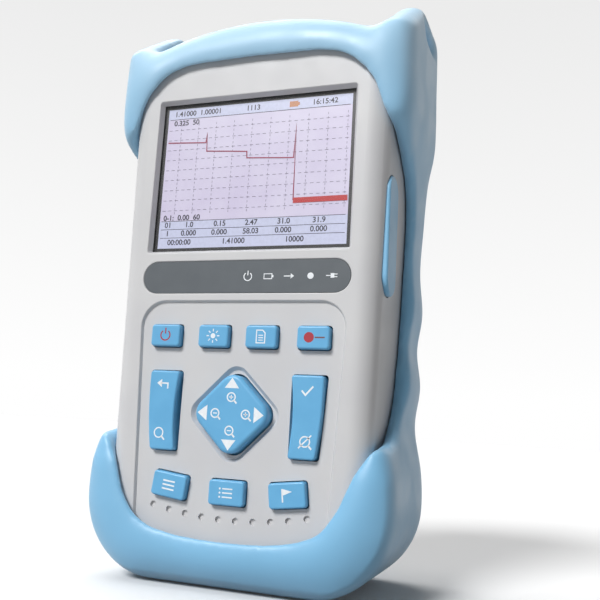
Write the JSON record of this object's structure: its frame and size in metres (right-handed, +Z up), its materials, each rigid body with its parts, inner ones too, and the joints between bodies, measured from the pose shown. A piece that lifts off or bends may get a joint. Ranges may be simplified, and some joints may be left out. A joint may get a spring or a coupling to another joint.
{
  "type": "optical time domain reflectometer",
  "caption": "Handheld fibre tester in a rubber boot, with a graphic display, a keypad round a diamond pad, optical ports on top, side port cover and folding stand.",
  "frame": {"origin": "middle of the foot, on the surface it stands on", "axes": "+Z up the case, the display faces -Y, +X to the right of someone reading it"},
  "size_m": [0.111, 0.064, 0.2085],
  "materials": {
    "case_plastic": "fine satin moulding",
    "boot_rubber": "soft matt rubber",
    "key_rubber": "satin silicone",
    "dark_plastic": "fine texture",
    "black_plastic": "satin",
    "white_plastic": "satin",
    "strip_plastic": "smooth",
    "window_glass": "clear polished",
    "display_face": "lit display",
    "sheet_steel": "bright",
    "steel_parts": "zinc plated",
    "aluminium_case": "bead blasted",
    "nickel": "nickel plated",
    "zirconia": "polished",
    "contact_brass": "plated",
    "battery_wrap": "shrink film",
    "circuit_board": "solder mask",
    "grey_silicone": "satin",
    "black_rubber": "matt"
  },
  "bodies": {
    "housing": {"front_shell": "case_plastic", "rear_shell": "case_plastic", "end_plate": "dark_plastic", "protective_boot": "boot_rubber", "display_window": "window_glass", "display_panel": "display_face", "display_bracket": "sheet_steel", "label_strip": "strip_plastic", "keypad_mat": "grey_silicone", "key_board": "circuit_board", "dome_switches": "steel_parts", "main_board": "circuit_board", "board_shield": "sheet_steel", "optical_module": "aluminium_case", "fibre_spool": "white_plastic", "buzzer": "black_plastic", "otdr_adapter": "nickel", "otdr_sleeve": "zirconia", "fault_locator_adapter": "nickel", "fault_locator_sleeve": "zirconia", "adapter_screws": "steel_parts", "battery_pack": "battery_wrap", "battery_door": "case_plastic", "battery_door_screws": "steel_parts", "battery_contacts": "contact_brass", "shell_screws": "steel_parts", "board_screws": "steel_parts", "shell_gasket": "black_rubber", "dc_jack": "black_plastic", "usb_host_port": "nickel", "usb_device_port": "nickel", "stand_hinge_pin": "steel_parts"},
    "power_key": {"power_key": "key_rubber"},
    "source_key": {"source_key": "key_rubber"},
    "file_key": {"file_key": "key_rubber"},
    "fault_key": {"fault_key": "key_rubber"},
    "escape_key": {"escape_key": "key_rubber"},
    "enter_key": {"enter_key": "key_rubber"},
    "menu_key": {"menu_key": "key_rubber"},
    "info_key": {"info_key": "key_rubber"},
    "marker_key": {"marker_key": "key_rubber"},
    "nav_rocker": {"nav_rocker": "white_plastic"},
    "nav_pad": {"nav_pad": "key_rubber"},
    "side_port_cover": {"side_port_cover": "boot_rubber"},
    "rear_stand": {"rear_stand": "dark_plastic"},
    "otdr_cap": {"otdr_cap": "black_rubber"},
    "fault_locator_cap": {"fault_locator_cap": "black_rubber"}
  },
  "joints": [
    {"name": "power_key_press", "type": "slide", "parent": "housing", "child": "power_key", "axis": [0, 1, 0], "range_m": [0, 0.0008], "stiffness_N_per_m": 400},
    {"name": "source_key_press", "type": "slide", "parent": "housing", "child": "source_key", "axis": [0, 1, 0], "range_m": [0, 0.0008], "stiffness_N_per_m": 400},
    {"name": "file_key_press", "type": "slide", "parent": "housing", "child": "file_key", "axis": [0, 1, 0], "range_m": [0, 0.0008], "stiffness_N_per_m": 400},
    {"name": "fault_key_press", "type": "slide", "parent": "housing", "child": "fault_key", "axis": [0, 1, 0], "range_m": [0, 0.0008], "stiffness_N_per_m": 400},
    {"name": "escape_key_press", "type": "slide", "parent": "housing", "child": "escape_key", "axis": [0, 1, 0], "range_m": [0, 0.0008], "stiffness_N_per_m": 400},
    {"name": "enter_key_press", "type": "slide", "parent": "housing", "child": "enter_key", "axis": [0, 1, 0], "range_m": [0, 0.0008], "stiffness_N_per_m": 400},
    {"name": "menu_key_press", "type": "slide", "parent": "housing", "child": "menu_key", "axis": [0, 1, 0], "range_m": [0, 0.0008], "stiffness_N_per_m": 400},
    {"name": "info_key_press", "type": "slide", "parent": "housing", "child": "info_key", "axis": [0, 1, 0], "range_m": [0, 0.0008], "stiffness_N_per_m": 400},
    {"name": "marker_key_press", "type": "slide", "parent": "housing", "child": "marker_key", "axis": [0, 1, 0], "range_m": [0, 0.0008], "stiffness_N_per_m": 400},
    {"name": "pad_tilt_up_down", "type": "hinge", "parent": "housing", "child": "nav_rocker", "pos_m": [0, -0.0248, 0.056], "axis": [1, 0, 0], "range_deg": [-3.5, 3.5], "stiffness_Nm_per_rad": 0.05},
    {"name": "pad_tilt_left_right", "type": "hinge", "parent": "nav_rocker", "child": "nav_pad", "pos_m": [0, -0.0248, 0.056], "axis": [0, 0, 1], "range_deg": [-3.5, 3.5], "stiffness_Nm_per_rad": 0.05},
    {"name": "side_cover_hinge", "type": "hinge", "parent": "housing", "child": "side_port_cover", "pos_m": [0.04864, -0.01, 0.1175], "axis": [0, 0, 1], "range_deg": [0, 100]},
    {"name": "stand_hinge", "type": "hinge", "parent": "housing", "child": "rear_stand", "pos_m": [0, 0.0284, 0.158], "axis": [1, 0, 0], "range_deg": [0, 35]},
    {"name": "otdr_cap_pull", "type": "slide", "parent": "housing", "child": "otdr_cap", "axis": [0, 0, 1], "range_m": [0, 0.015]},
    {"name": "fault_locator_cap_pull", "type": "slide", "parent": "housing", "child": "fault_locator_cap", "axis": [0, 0, 1], "range_m": [0, 0.015]}
  ]
}
